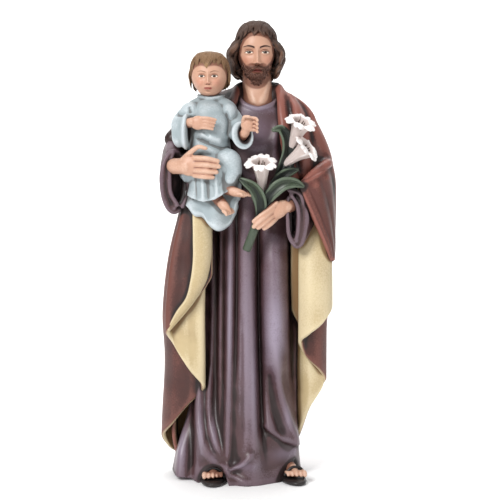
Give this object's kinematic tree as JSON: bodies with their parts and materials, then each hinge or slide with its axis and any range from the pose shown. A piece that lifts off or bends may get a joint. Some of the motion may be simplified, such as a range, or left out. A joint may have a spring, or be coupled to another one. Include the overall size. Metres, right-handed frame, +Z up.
{
  "type": "saint joseph statue",
  "caption": "Standing bearded saint in a long tunic and draped mantle, holding a child on one arm and lilies in the other hand; painted cast resin, stands on its flat underside.",
  "frame": {"origin": "on the flat underside, on the figure's upright axis", "axes": "+Z up along the figure, -Y to the front that the faces look at, +X to the figure's left hand"},
  "size_m": [0.0628, 0.0469, 0.1598],
  "materials": {
    "painted_resin": "hand painted, antiqued, satin",
    "tunic_paint": "mauve brown with lavender highlights and a dark wash, satin",
    "mantle_paint": "red brown with rosy highlights, satin",
    "lining_paint": "cream with an ochre wash, satin",
    "child_tunic_paint": "pale blue grey with a brown wash, satin",
    "skin_paint": "warm skin tone, satin",
    "saint_hair_paint": "dark brown with lighter strands, satin",
    "child_hair_paint": "light brown, satin",
    "lily_paint": "white with a pink brown wash, satin",
    "leaf_paint": "dark green with grey green highlights, satin",
    "sandal_paint": "near black, satin"
  },
  "bodies": {
    "root": {"saint_and_child": "painted_resin"}
  },
  "joints": []
}
